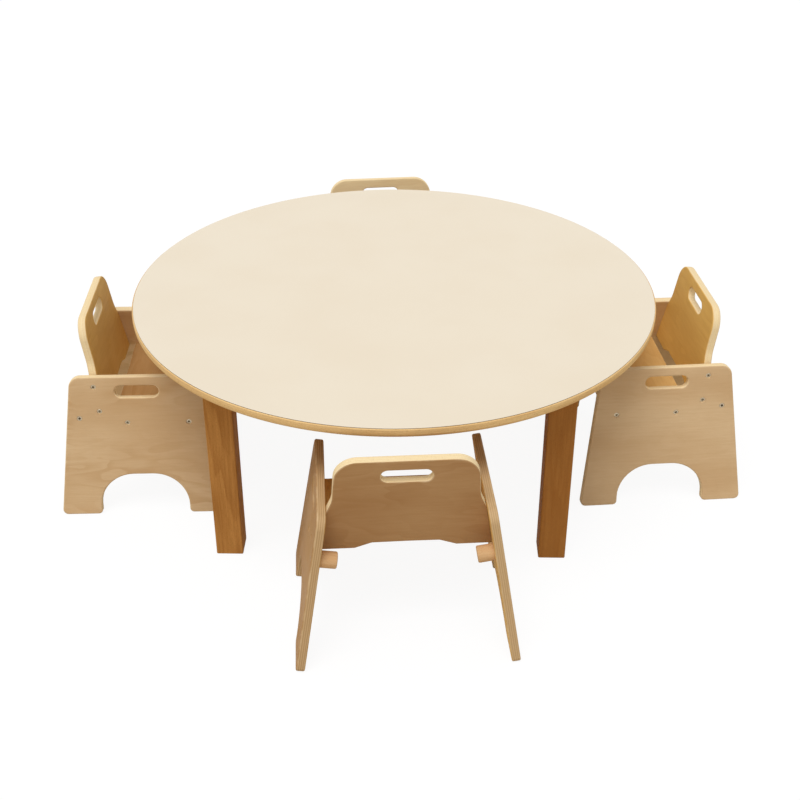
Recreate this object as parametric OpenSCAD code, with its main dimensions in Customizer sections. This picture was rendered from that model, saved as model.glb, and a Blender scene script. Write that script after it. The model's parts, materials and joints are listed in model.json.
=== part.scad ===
// Round children's table with four splay-sided stacking chairs.
// Millimetres. The floor is z = 0 and the origin is on the floor under the middle of the table.
// The front chair stands on the -Y side, the back chair on +Y, the left on -X and the right on +X.

/* [Table] */
// Diameter of the table top, over its lipping
table_d = 982; // [840:1:1300]
// Height of the table top above the floor
table_h = 389; // [385:1:600]
// Thickness of the whole table top
top_t = 18; // [16:1:30]
// Thickness of the laminate sheet on the top
laminate_t = 0.8; // [0.6:0.1:1.5]
// Width of the solid lipping round the board
lipping_w = 10; // [9:0.5:14]
// Radius of the lipping's lower edge
lipping_low_r = 9; // [3:0.5:9]
// Radius of the lipping's upper edge, under the laminate
lipping_high_r = 2; // [1:0.5:4]
// Distance from the laminate's edge to where that upper round starts
laminate_step = 0.2; // [0.1:0.1:1]

/* [Legs] */
// Width of the square legs
leg_w = 49; // [36:1:60]
// Radius of the legs' long edges
leg_round = 2.5; // [1:0.5:6]
// Gap between the table's rim and a leg's outer corner
leg_setback = 37; // [35:1:90]

/* [Leg fixings] */
// Width of the steel plate over each leg
plate_w = 90; // [80:1:110]
// Thickness of the steel plate
plate_t = 3; // [2:0.5:4]
// Diameter of the bolt in each leg
leg_bolt_d = 8; // [6:1:10]
// Depth that the bolt reaches into the leg
leg_bolt_depth = 50; // [30:5:80]
// Height of the nut welded on the plate
plate_nut_h = 7; // [5:0.5:9]
// Diameter of that nut
plate_nut_d = 14; // [11:0.5:18]
// Diameter of the wood screws in the plate
plate_screw_d = 4; // [3:0.5:5]
// Depth that those screws reach into the board
plate_screw_depth = 11; // [8:0.5:12]
// Height of those screws' round heads
plate_screw_head_h = 2.2; // [1.5:0.1:3]
// Diameter of those heads against the plate
plate_screw_head_d = 8; // [6:0.5:9]
// Diameter of those heads at their flat end
plate_screw_crown_d = 5.2; // [4:0.1:7]

/* [Chair sides] */
// Thickness of the chairs' plywood
ply_t = 15; // [12:0.5:18]
// Width of a chair at the floor, over its sides
chair_w = 374; // [320:1:440]
// Angle at which the sides lean in towards the top
splay = 9.1; // [0:0.1:12]
// Depth of a side at the floor
side_depth = 317; // [280:1:400]
// Height of a side, measured up its own face
side_h = 283; // [240:1:360]
// Distance that the rear edge leans forward at the top
rear_rake = 40; // [10:1:60]
// Distance that the front edge leans back at the top
front_rake = 30; // [10:1:50]
// Radius of a side's top corners
side_top_r = 21; // [8:1:30]
// Radius of the feet's outer corners
foot_r = 10; // [4:1:14]
// Distance of the arch from the rear foot corner
arch_from_rear = 77; // [60:1:85]
// Width of the arch between the feet
arch_w = 168; // [140:1:185]
// Height of the arch
arch_h = 83.5; // [76:0.5:110]
// Radius of the arch's shoulders
arch_r = 66; // [30:1:66]
// Radius of the feet's inner corners
foot_inner_r = 8; // [3:0.5:8]

/* [Hand slots] */
// Length of each hand slot
slot_l = 82; // [70:1:110]
// Height of each hand slot
slot_w = 24.5; // [22:0.5:32]
// Gap between the side's top edge and its slot
side_slot_drop = 17.5; // [12:0.5:30]
// Distance of the side's slot from the rear corner, along the floor
side_slot_d = 162; // [140:1:180]
// Gap between the back's top edge and its slot
back_slot_drop = 20; // [14:0.5:24]

/* [Seat] */
// Height of the seat above the floor
seat_h = 196; // [150:1:205]
// Depth of the seat from front to back
seat_depth = 161; // [150:1:230]
// Gap between the seat's lower rear edge and the back
seat_back_gap = 11.5; // [1:0.5:16]

/* [Back] */
// Angle at which the back leans rearwards
back_lean = 8.4; // [6:0.1:10]
// Distance from the rear foot corner to where the back's plane meets the floor
back_foot = 121.7; // [116:0.1:124]
// Length that the back reaches down past the level of the seat's top
back_under = 8.6; // [6:0.1:20]
// Length that the back's shoulders lie under the level of the sides' top
shoulder_drop = 8.5; // [4:0.1:14]
// Length of the back above its shoulders
back_rise = 105; // [80:1:140]
// Distance that each side edge steps in from the shoulder to the neck
back_neck_in = 9.8; // [4:0.1:20]
// Length up the back's plane from the shoulder to the neck
back_neck_rise = 24.7; // [15:0.1:40]
// Radius of the curve at the neck
back_neck_r = 45; // [20:1:60]
// Distance that each side edge draws in from the neck to the top
back_taper = 5.5; // [0:0.5:15]
// Radius of the back's top corners
back_corner_r = 38; // [15:1:45]
// Height of the notch in the back's lower edge
notch_h = 11; // [5:0.5:14]
// Width of the notch at the lower edge
notch_w = 166; // [120:1:180]
// Distance that each end of the notch slopes in
notch_slope = 28; // [15:1:40]
// Rise of the notch's middle over its ends
notch_crown = 0.5; // [0.5:0.5:6]
// Radius of the notch's lower corners
notch_low_r = 4; // [2:0.5:6]
// Radius of the notch's upper corners
notch_high_r = 8; // [4:1:12]
// Radius of the notch's crown
notch_crown_r = 200; // [100:10:250]

/* [Stacking pegs] */
// Diameter of the stacking pegs
peg_d = 28; // [20:1:32]
// Length that a peg stands in from its side
peg_l = 28; // [20:1:40]
// Distance of a peg from the rear foot corner
peg_from_rear = 52; // [50:1:54]
// Height of a peg up the side's own face
peg_v = 201; // [170:1:205]
// Radius of a peg's free edge
peg_round = 2.5; // [1:0.5:5]

/* [Chair screws] */
// Diameter of the screws' heads
head_d = 10; // [8:0.5:12]
// Height of the screws' heads
head_h = 3.5; // [2.5:0.5:4]
// Diameter of the smooth shank under the head
shank_d = 7; // [5:0.5:7]
// Diameter of the thread
thread_d = 5; // [4:0.5:6]
// Length of the screws that hold the seat and the back
screw_l = 50; // [40:1:60]
// Length of the screws that hold the pegs
peg_screw_l = 38; // [32:1:40]
// Width across the flats of the hexagon socket
socket_af = 4; // [3:0.5:5]
// Depth of the hexagon socket
socket_depth = 2.4; // [1.5:0.1:2.6]
// Distance of the seat's screws from its rear and its front edge
seat_screw_in = [26.5, 20]; // [15:0.5:60]
// Distance of the back's screws from its lower edge and from its shoulder
back_screw_in = [24.5, 11]; // [10:0.5:40]

/* [Chair places] */
// Front chair: distance outside the rim, shift to the right, turn
front_place = [-34.1, 24.6, 5]; // [-60:0.1:60]
// Left chair: distance outside the rim, shift to the back, turn
left_place = [-4.1, -12.2, 3.1]; // [-60:0.1:60]
// Right chair: distance outside the rim, shift to the back, turn
right_place = [12.8, 41.8, 6]; // [-60:0.1:60]
// Back chair: distance outside the rim, shift to the right, turn
back_place = [6.1, -35.5, 6.9]; // [-60:0.1:60]

/* [Hidden] */
$fn = 64;

glue_line = 0.05;    // between two glued or clamped faces
bore_clear = 0.05;   // radial, between a fastener and its hole
tip_clear = 1;       // between a fastener's tip and the end of its hole
over = 1;            // a cut runs this far past the faces that it opens
head_over = 3;       // a head's hole runs this far out of the leaning side's face
nut_clear = 1;       // radial, round the welded nut
arc_steps = 12;      // straight pieces in a rounded corner
rim_fn = 180;        // sides of the table's circles in a preview
head_sink = 1;       // a level screw's head lies this deep in the leaning side, at its axis
peg_head_sink = 0.4; // the same for the peg's screw, which is square to the side
tip_l = 4;           // length of a screw's point
tip_d = 1.7;         // width of a screw's point

// ---- Outlines ----

// Arc that rounds corner b, between a and c, where b is [x, y, radius]
function corner_arc(a, b, c) =
    let (p = [b[0], b[1]],
         u = ([a[0], a[1]] - p) / norm([a[0], a[1]] - p),
         w = ([c[0], c[1]] - p) / norm([c[0], c[1]] - p),
         half = acos(u * w) / 2,
         centre = p + (u + w) / norm(u + w) * b[2] / sin(half),
         from = p + u * b[2] / tan(half) - centre,
         to = p + w * b[2] / tan(half) - centre,
         start = atan2(from[1], from[0]),
         sweep = atan2(from[0] * to[1] - from[1] * to[0], from * to))
    [for (i = [0 : arc_steps])
        centre + b[2] * [cos(start + sweep * i / arc_steps), sin(start + sweep * i / arc_steps)]];

// Closed outline through points [x, y, radius], with every corner rounded that has a radius
function rounded(points) =
    let (n = len(points))
    [for (i = [0 : n - 1])
        each points[i][2] == 0
            ? [[points[i][0], points[i][1]]]
            : corner_arc(points[(i + n - 1) % n], points[i], points[(i + 1) % n])];

// Slot of length l and height w, centred on the origin
module slot_2d(l, w) {
    square([l - w, w], center = true);
    for (end = [-1, 1])
        translate([end * (l - w) / 2, 0]) circle(d = w);
}

// ---- Table ----

table_r = table_d / 2;
board_r = table_r - lipping_w;
core_t = top_t - laminate_t;
underside_z = table_h - top_t;
leg_top_z = underside_z - plate_t;
leg_at = (table_r - leg_setback) / sqrt(2) - leg_w / 2;
plate_screw_at = (leg_w + plate_w) / 4; // midway from the leg's face to the plate's edge
leg_bolt_top = leg_top_z + plate_t + plate_nut_h - tip_clear;
lipping_top_z = table_h - laminate_t;

module at_legs() {
    for (x = [-1, 1], y = [-1, 1])
        translate([x * leg_at, y * leg_at, 0]) children();
}

module at_plate_screws() {
    at_legs()
        for (x = [-1, 1], y = [-1, 1])
            translate([x * plate_screw_at, y * plate_screw_at, 0]) children();
}

module core_board() {
    color("tan")
    difference() {
        translate([0, 0, underside_z])
            cylinder(r = board_r - glue_line, h = core_t, $fn = rim_fn);
        at_legs()
            translate([0, 0, underside_z - over])
                cylinder(r = plate_nut_d / 2 + nut_clear, h = plate_nut_h + tip_clear + over);
        at_plate_screws()
            translate([0, 0, underside_z - over])
                cylinder(r = plate_screw_d / 2 + bore_clear, h = plate_screw_depth + tip_clear + over);
    }
}

module laminate() {
    color("antiquewhite")
        translate([0, 0, table_h - laminate_t])
            cylinder(r = table_r - lipping_high_r - laminate_step, h = laminate_t, $fn = rim_fn);
}

// Half profile of the lipping: flat against the board and under the laminate, rounded outside
module lipping_2d() {
    lipping_h = lipping_top_z - underside_z;
    intersection() {
        translate([board_r, underside_z]) square([lipping_w, lipping_h]);
        union() {
            translate([board_r, underside_z + lipping_low_r])
                square([lipping_w, lipping_h - lipping_low_r - lipping_high_r]);
            translate([board_r, underside_z])
                square([lipping_w - lipping_low_r, lipping_h]);
            translate([board_r, lipping_top_z - lipping_low_r])
                square([lipping_w - lipping_high_r, lipping_low_r]);
            translate([table_r - lipping_low_r, underside_z + lipping_low_r])
                circle(r = lipping_low_r);
            translate([table_r - lipping_high_r, lipping_top_z - lipping_high_r])
                circle(r = lipping_high_r);
        }
    }
}

module edge_lipping() {
    color("burlywood")
        rotate_extrude($fn = rim_fn) lipping_2d();
}

// One leg: a square post with rounded long edges, bored for its bolt
module leg(x, y) {
    color("peru")
    translate([x * leg_at, y * leg_at, 0])
    difference() {
        linear_extrude(leg_top_z)
            polygon(rounded([for (c = [[-1, -1], [1, -1], [1, 1], [-1, 1]])
                [c[0] * leg_w / 2, c[1] * leg_w / 2, leg_round]]));
        translate([0, 0, leg_top_z - leg_bolt_depth - tip_clear])
            cylinder(r = leg_bolt_d / 2 + bore_clear, h = leg_bolt_depth + tip_clear + over);
    }
}

module leg_plates() {
    color("silver")
    difference() {
        at_legs() {
            translate([-plate_w / 2, -plate_w / 2, leg_top_z + glue_line])
                cube([plate_w, plate_w, plate_t - 2 * glue_line]);
            translate([0, 0, leg_top_z + glue_line])
                cylinder(d = plate_nut_d, h = plate_t + plate_nut_h - glue_line);
        }
        at_legs()
            translate([0, 0, leg_top_z - over])
                cylinder(r = leg_bolt_d / 2 + bore_clear, h = plate_t + plate_nut_h + 2 * over);
        at_plate_screws()
            translate([0, 0, leg_top_z - over])
                cylinder(r = plate_screw_d / 2 + bore_clear, h = plate_t + 2 * over);
    }
}

module leg_bolts() {
    color("gray")
    at_legs()
        translate([0, 0, leg_top_z - leg_bolt_depth])
            cylinder(d = leg_bolt_d, h = leg_bolt_top - (leg_top_z - leg_bolt_depth));
}

module plate_screws() {
    color("silver")
    at_plate_screws() {
        translate([0, 0, leg_top_z - plate_screw_head_h])
            cylinder(d1 = plate_screw_crown_d, d2 = plate_screw_head_d, h = plate_screw_head_h);
        translate([0, 0, leg_top_z - glue_line])
            cylinder(d = plate_screw_d, h = plate_t + plate_screw_depth);
    }
}

// ---- Chair ----
// A chair stands on the floor with its middle at the origin, facing -Y, its left side on +X.
// A side's own plane has d forward from its rear foot corner, v up its face, and depth inwards.

rear_y = side_depth / 2;
ply_span = ply_t / cos(splay);   // a side's thickness along X
side_slot_v = side_h - side_slot_drop - slot_w / 2;
back_foot_y = rear_y - back_foot;
back_low = seat_h / cos(back_lean) - back_under;
back_shoulder = side_h * cos(splay) / cos(back_lean) - shoulder_drop;
back_top = back_shoulder + back_rise;
seat_z = seat_h - ply_t / 2;
seat_rear_y = back_foot_y + (seat_h - ply_t) * tan(back_lean)
    - ply_t / (2 * cos(back_lean)) - seat_back_gap;
seat_front_y = seat_rear_y - seat_depth;

// Half width to a side's outer face, and to its inner face, at height z
function outer_x(z) = chair_w / 2 - z * tan(splay);
function inner_x(z) = outer_x(z) - ply_span - glue_line;

// Centre line of the screws along X: [y, z]
seat_screws = [[seat_rear_y - seat_screw_in[0], seat_z], [seat_front_y + seat_screw_in[1], seat_z]];
back_screws = [for (w = [back_low + back_screw_in[0], back_shoulder - back_screw_in[1]])
    [back_foot_y + w * sin(back_lean), w * cos(back_lean)]];

// Puts what follows on the +X side, or mirrored on the -X side
module on_hand(hand) {
    if (hand > 0) children();
    else mirror([1, 0, 0]) children();
}

module side_frame() {
    translate([chair_w / 2, rear_y, 0])
        rotate([0, -splay, 0])
            rotate([90, 0, -90]) children();
}

module at_cross_screws() {
    for (s = concat(seat_screws, back_screws))
        translate([outer_x(s[1]) - head_sink, s[0], s[1]])
            rotate([0, -90, 0]) children();
}

module at_peg_screw() {
    side_frame()
        translate([peg_from_rear, peg_v, peg_head_sink]) children();
}

// Screw along +Z from its head's face, with a hexagon socket
module furniture_screw(length) {
    difference() {
        union() {
            cylinder(d = head_d, h = head_h);
            cylinder(d = shank_d, h = ply_t - peg_head_sink);
            cylinder(d = thread_d, h = length - tip_l);
            translate([0, 0, length - tip_l])
                cylinder(d1 = thread_d, d2 = tip_d, h = tip_l);
        }
        translate([0, 0, -over])
            cylinder(d = socket_af / cos(30), h = socket_depth + over, $fn = 6);
    }
}

// Stepped hole for that screw, open at its head
module screw_hole(length) {
    translate([0, 0, -head_over])
        cylinder(r = head_d / 2 + bore_clear, h = head_h + bore_clear + head_over);
    cylinder(r = shank_d / 2 + bore_clear, h = ply_span + over);
    cylinder(r = thread_d / 2 + bore_clear, h = length + tip_clear);
}

module side_2d() {
    polygon(rounded([
        [0, 0, foot_r],
        [arch_from_rear, 0, foot_inner_r],
        [arch_from_rear, arch_h, arch_r],
        [arch_from_rear + arch_w, arch_h, arch_r],
        [arch_from_rear + arch_w, 0, foot_inner_r],
        [side_depth, 0, foot_r],
        [side_depth - front_rake, side_h, side_top_r],
        [rear_rake, side_h, side_top_r]]));
}

module chair_side(hand) {
    color("burlywood")
    on_hand(hand)
    difference() {
        side_frame()
            difference() {
                linear_extrude(ply_t) side_2d();
                translate([side_slot_d, side_slot_v, -over])
                    linear_extrude(ply_t + 2 * over) slot_2d(slot_l, slot_w);
            }
        translate([0, -side_depth, -side_h])
            cube([chair_w, 2 * side_depth, side_h]);
        at_cross_screws() screw_hole(screw_l);
        at_peg_screw() screw_hole(peg_screw_l);
    }
}

module chair_seat() {
    low = seat_h - ply_t;
    color("tan")
    difference() {
        translate([0, seat_rear_y, 0])
            rotate([90, 0, 0])
                linear_extrude(seat_depth)
                    polygon([[-inner_x(low), low], [inner_x(low), low],
                             [inner_x(seat_h), seat_h], [-inner_x(seat_h), seat_h]]);
        for (hand = [-1, 1])
            on_hand(hand) at_cross_screws() screw_hole(screw_l);
    }
}

// The back's outline in its own plane: x across, w up the plane from the floor
module back_2d() {
    edge_low = inner_x(back_low * cos(back_lean));
    edge_high = inner_x(back_shoulder * cos(back_lean));
    neck = edge_high - back_neck_in;
    half = [
        [edge_low, back_low, 0],
        [edge_high, back_shoulder, 0],
        [neck, back_shoulder + back_neck_rise, back_neck_r],
        [neck - back_taper, back_top, back_corner_r]];
    notch = [
        [-notch_w / 2, back_low, notch_low_r],
        [-notch_w / 2 + notch_slope, back_low + notch_h, notch_high_r],
        [0, back_low + notch_h + notch_crown, notch_crown_r],
        [notch_w / 2 - notch_slope, back_low + notch_h, notch_high_r],
        [notch_w / 2, back_low, notch_low_r]];
    polygon(rounded(concat(
        half,
        [for (i = [3 : -1 : 0]) [-half[i][0], half[i][1], half[i][2]]],
        notch)));
}

// The back leans between sides that lean too, so its ends are trimmed to their inner faces
module chair_back() {
    color("burlywood")
    difference() {
        translate([0, back_foot_y, 0])
            rotate([90 - back_lean, 0, 0])
                translate([0, 0, -ply_t / 2])
                    difference() {
                        linear_extrude(ply_t) back_2d();
                        translate([0, back_top - back_slot_drop - slot_w / 2, -over])
                            linear_extrude(ply_t + 2 * over) slot_2d(slot_l, slot_w);
                    }
        for (hand = [-1, 1])
            on_hand(hand) {
                at_cross_screws() screw_hole(screw_l);
                side_frame()
                    translate([-side_depth, 0, -glue_line])
                        cube([3 * side_depth, side_h, ply_t + 2 * glue_line]);
            }
    }
}

module chair_peg(hand) {
    color("sandybrown")
    on_hand(hand)
    difference() {
        side_frame()
            translate([peg_from_rear, peg_v, ply_t + glue_line])
                rotate_extrude()
                    polygon(rounded([[0, 0, 0], [peg_d / 2, 0, 0],
                                     [peg_d / 2, peg_l, peg_round], [0, peg_l, 0]]));
        at_peg_screw() screw_hole(peg_screw_l);
    }
}

module chair_screws() {
    color("silver")
    for (hand = [-1, 1])
        on_hand(hand) at_cross_screws() furniture_screw(screw_l);
}

module chair_peg_screws() {
    color("silver")
    for (hand = [-1, 1])
        on_hand(hand) at_peg_screw() furniture_screw(peg_screw_l);
}

// ---- Chairs round the table ----
// A place is [distance of the chair's middle outside the rim, shift along the rim, turn].

module front_chair() {
    translate([front_place[1], -table_r - front_place[0], 0])
        rotate([0, 0, 180 + front_place[2]]) children();
}

module left_chair() {
    translate([-table_r - left_place[0], left_place[1], 0])
        rotate([0, 0, 90 + left_place[2]]) children();
}

module right_chair() {
    translate([table_r + right_place[0], right_place[1], 0])
        rotate([0, 0, -90 + right_place[2]]) children();
}

module back_chair() {
    translate([back_place[1], table_r + back_place[0], 0])
        rotate([0, 0, back_place[2]]) children();
}

core_board();
laminate();
edge_lipping();
leg(-1, -1);  // leg_front_left
leg(1, -1);  // leg_front_right
leg(-1, 1);  // leg_back_left
leg(1, 1);  // leg_back_right
leg_plates();
leg_bolts();
plate_screws();
front_chair() chair_side(1);  // front_chair_left_side
front_chair() chair_side(-1);  // front_chair_right_side
front_chair() chair_seat();  // front_chair_seat
front_chair() chair_back();  // front_chair_back
front_chair() chair_peg(1);  // front_chair_left_peg
front_chair() chair_peg(-1);  // front_chair_right_peg
front_chair() chair_screws();  // front_chair_screws
front_chair() chair_peg_screws();  // front_chair_peg_screws
left_chair() chair_side(1);  // left_chair_left_side
left_chair() chair_side(-1);  // left_chair_right_side
left_chair() chair_seat();  // left_chair_seat
left_chair() chair_back();  // left_chair_back
left_chair() chair_peg(1);  // left_chair_left_peg
left_chair() chair_peg(-1);  // left_chair_right_peg
left_chair() chair_screws();  // left_chair_screws
left_chair() chair_peg_screws();  // left_chair_peg_screws
right_chair() chair_side(1);  // right_chair_left_side
right_chair() chair_side(-1);  // right_chair_right_side
right_chair() chair_seat();  // right_chair_seat
right_chair() chair_back();  // right_chair_back
right_chair() chair_peg(1);  // right_chair_left_peg
right_chair() chair_peg(-1);  // right_chair_right_peg
right_chair() chair_screws();  // right_chair_screws
right_chair() chair_peg_screws();  // right_chair_peg_screws
back_chair() chair_side(1);  // back_chair_left_side
back_chair() chair_side(-1);  // back_chair_right_side
back_chair() chair_seat();  // back_chair_seat
back_chair() chair_back();  // back_chair_back
back_chair() chair_peg(1);  // back_chair_left_peg
back_chair() chair_peg(-1);  // back_chair_right_peg
back_chair() chair_screws();  // back_chair_screws
back_chair() chair_peg_screws();  // back_chair_peg_screws
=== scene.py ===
import json
from math import atan2, cos, pi, radians, sin, tan
import bmesh
import bpy
from mathutils import Matrix, Vector


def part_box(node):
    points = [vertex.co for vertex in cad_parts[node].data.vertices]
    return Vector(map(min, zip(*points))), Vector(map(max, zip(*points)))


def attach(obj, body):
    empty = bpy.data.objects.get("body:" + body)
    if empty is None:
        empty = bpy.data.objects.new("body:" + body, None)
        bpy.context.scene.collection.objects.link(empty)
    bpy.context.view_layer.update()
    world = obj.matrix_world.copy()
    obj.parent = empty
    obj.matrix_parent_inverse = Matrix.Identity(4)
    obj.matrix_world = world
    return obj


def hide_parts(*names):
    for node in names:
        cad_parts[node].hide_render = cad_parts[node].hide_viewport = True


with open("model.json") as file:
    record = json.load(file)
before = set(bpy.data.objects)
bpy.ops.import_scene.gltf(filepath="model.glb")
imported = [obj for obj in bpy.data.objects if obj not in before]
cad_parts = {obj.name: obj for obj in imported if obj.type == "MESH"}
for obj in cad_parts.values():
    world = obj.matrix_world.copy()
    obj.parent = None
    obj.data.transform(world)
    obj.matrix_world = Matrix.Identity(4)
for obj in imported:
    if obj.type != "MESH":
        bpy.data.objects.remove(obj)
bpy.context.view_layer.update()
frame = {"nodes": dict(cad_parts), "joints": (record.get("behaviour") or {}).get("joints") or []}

scene = bpy.context.scene
nodes = frame["nodes"]
tiny = 1e-6  # two places that are closer than this are the same
print("frame loaded:", len(nodes), "nodes")


# shader helpers

def tint(red, green, blue):
    # a colour as a screen shows it, 0 to 255, turned into the light that a shader works with
    steps = [step / 255 for step in (red, green, blue)]
    return [c / 12.92 if c <= 0.04045 else ((c + 0.055) / 1.055) ** 2.4 for c in steps] + [1.0]


def plug(tree, socket, value):
    # a link if the value comes from another node, or else the plain value
    if isinstance(value, bpy.types.NodeSocket):
        tree.links.new(value, socket)
    else:
        socket.default_value = value


def put(tree, kind, settings=None, **inputs):
    # adds a node; its inputs go by name, with _ for a space, or by number as i0, i1 and so on
    node = tree.nodes.new("ShaderNode" + kind)
    for key, value in (settings or {}).items():
        setattr(node, key, value)
    for key, value in inputs.items():
        numbered = key[0] == "i" and key[1:].isdigit()
        plug(tree, node.inputs[int(key[1:]) if numbered else key.replace("_", " ")], value)
    return node


def maths(tree, operation, a, b=0.0, clamp=False):
    return put(tree, "Math", {"operation": operation, "use_clamp": clamp}, i0=a, i1=b).outputs[0]


def between(tree, value, low, high, toLow=0.0, toHigh=1.0):
    # eases from toLow to toHigh while the value goes from low to high
    settings = {"interpolation_type": "SMOOTHSTEP"}
    return put(tree, "MapRange", settings, Value=value, From_Min=low, From_Max=high, To_Min=toLow,
               To_Max=toHigh).outputs[0]


def blendColours(tree, share, a, b, way="MIX"):
    # the Mix node's inputs 6 and 7 are its two colours, and its output 2 is the blended one
    return put(tree, "Mix", {"data_type": "RGBA", "blend_type": way}, i0=share, i6=a, i7=b).outputs[2]


def layOver(tree, pattern, reach, under, over):
    # the second colour comes in while the pattern goes from low to high, up to a share
    low, high, share = reach
    return blendColours(tree, between(tree, pattern, low, high, 0.0, share), under, over)


def cloudy(tree, vector, stretch=None, scale=1.0, detail=2.0, rough=0.5, distort=0.0):
    # noise that is finer along an axis where its stretch is larger
    if stretch is not None:
        vector = put(tree, "VectorMath", {"operation": "MULTIPLY"}, i0=vector, i1=stretch).outputs[0]
    return put(tree, "TexNoise", Vector=vector, Scale=scale, Detail=detail, Roughness=rough,
               Distortion=distort).outputs[0]


def addRelief(tree, shader, height, strength, depth):
    bump = put(tree, "Bump", Strength=strength, Distance=depth, Height=height)
    tree.links.new(bump.outputs[0], shader.inputs["Normal"])


def newGroup(name, inputs, outputs):
    group = bpy.data.node_groups.new(name, "ShaderNodeTree")
    for way, sockets in (("INPUT", inputs), ("OUTPUT", outputs)):
        for label, kind in sockets.items():
            group.interface.new_socket(label, in_out=way, socket_type="NodeSocket" + kind)
    return group, group.nodes.new("NodeGroupInput").outputs, group.nodes.new("NodeGroupOutput").inputs


def useGroup(tree, group, **inputs):
    node = tree.nodes.new("ShaderNodeGroup")
    node.node_tree = group
    for key, value in inputs.items():
        plug(tree, node.inputs[key.replace("_", " ")], value)
    return node.outputs


# grain, plies and wear, which the materials share

grain = {
    "rings": {"rough": 0.45, "distort": 0.25}, "ringRise": (0.1, 0.9), "ringFall": (0.9, 1.0),
    "patches": {"stretch": (7, 16, 16), "detail": 1.0}, "patchReach": (0.32, 0.62), "faintest": 0.25,
    "Streak": {"stretch": (11, 230, 230), "detail": 3.0, "rough": 0.62},
    "Fibre": {"stretch": (60, 1700, 1700), "rough": 0.6},
    "Tone": {"stretch": (4, 9, 9)},
}


def makeFigure():
    # contour lines of slow noise, stretched along the grain: the ovals and waves of a flat-cut face
    inputs = {"Place": "Vector", "Rings": "Float", "Along": "Float", "Across": "Float"}
    outputs = {"Figure": "Float", "Streak": "Float", "Fibre": "Float", "Tone": "Float"}
    group, given, out = newGroup("figure", inputs, outputs)
    size = put(group, "CombineXYZ", X=given["Along"], Y=given["Across"], Z=given["Across"]).outputs[0]
    slow = cloudy(group, given["Place"], size, **grain["rings"])
    ring = maths(group, "FRACT", maths(group, "MULTIPLY", slow, given["Rings"]))
    rise = between(group, ring, *grain["ringRise"])
    fall = between(group, ring, *grain["ringFall"], 1.0, 0.0)
    patches = cloudy(group, given["Place"], **grain["patches"])
    strength = between(group, patches, *grain["patchReach"], grain["faintest"], 1.0)
    group.links.new(maths(group, "MULTIPLY", maths(group, "MULTIPLY", rise, fall), strength), out["Figure"])
    for label in ("Streak", "Fibre", "Tone"):
        group.links.new(cloudy(group, given["Place"], **grain[label]), out[label])
    return group


def grainHeight(tree, look):
    # fibres and streaks, half and half
    fibres = maths(tree, "MULTIPLY", look["Fibre"], 0.5)
    return maths(tree, "ADD", fibres, maths(tree, "MULTIPLY", look["Streak"], 0.5))


wear = {
    "rubs": {"scale": 26.0, "detail": 3.0, "rough": 0.6}, "rubReach": (0.42, 0.66),
    "smears": {"scale": 11.0, "detail": 4.0, "rough": 0.62, "distort": 0.6}, "smearReach": (0.35, 0.75),
    "scratches": {"stretch": (14, 900, 900), "detail": 1.0, "distort": 0.2}, "scratchReach": (0.735, 0.77),
    "scratchTurn": 0.6, "rare": {"scale": 19.0, "detail": 1.0}, "rareReach": (0.56, 0.68),
    "rubShare": 0.3, "rubRough": 0.12, "scratchRough": 0.18, "scratchDepth": 0.6, "bump": 0.5,
}


def makeWear():
    # rubbed arrises, faint smears and fine scratches in the lacquer
    outputs = {"Rubbed": "Float", "Smear": "Float", "Scratch": "Float"}
    group, given, out = newGroup("wear", {"Place": "Vector", "Arris": "Float"}, outputs)
    rubs = between(group, cloudy(group, given["Place"], **wear["rubs"]), *wear["rubReach"])
    group.links.new(maths(group, "MULTIPLY", rubs, given["Arris"]), out["Rubbed"])
    smears = between(group, cloudy(group, given["Place"], **wear["smears"]), *wear["smearReach"])
    group.links.new(smears, out["Smear"])
    turned = put(group, "VectorRotate", {"rotation_type": "AXIS_ANGLE"}, Vector=given["Place"],
                 Axis=(0.0, 0.0, 1.0), Angle=wear["scratchTurn"]).outputs[0]
    lines = between(group, cloudy(group, turned, **wear["scratches"]), *wear["scratchReach"])
    rare = between(group, cloudy(group, given["Place"], **wear["rare"]), *wear["rareReach"])
    group.links.new(maths(group, "MULTIPLY", lines, rare), out["Scratch"])
    return group


plies = {
    "sway": {"scale": 38.0}, "swayReach": 0.001, "glueReach": 0.12, "skinFrom": 0.0007, "skinTo": 0.75,
    "figure": {"Rings": 7.0, "Along": 6.0, "Across": 20.0},
    "darker": {"Streak": (0.34, 0.72, 0.14), "Fibre": (0.3, 0.8, 0.2), "Tone": (0.3, 0.72, 0.4)},
    "pores": {"stretch": (700, 700, 300)}, "poreReach": (0.45, 0.8, 0.16),
    "bands": {"stretch": (5, 5, 420)}, "bandReach": (0.38, 0.7, 0.7),
    "endShare": 0.5, "rimShadeShare": 0.9, "rimShadeStep": 0.24, "glueShare": 0.14,
    "endHeight": 0.35, "poreHeight": 0.5, "glueDepth": 0.4,
}


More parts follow.
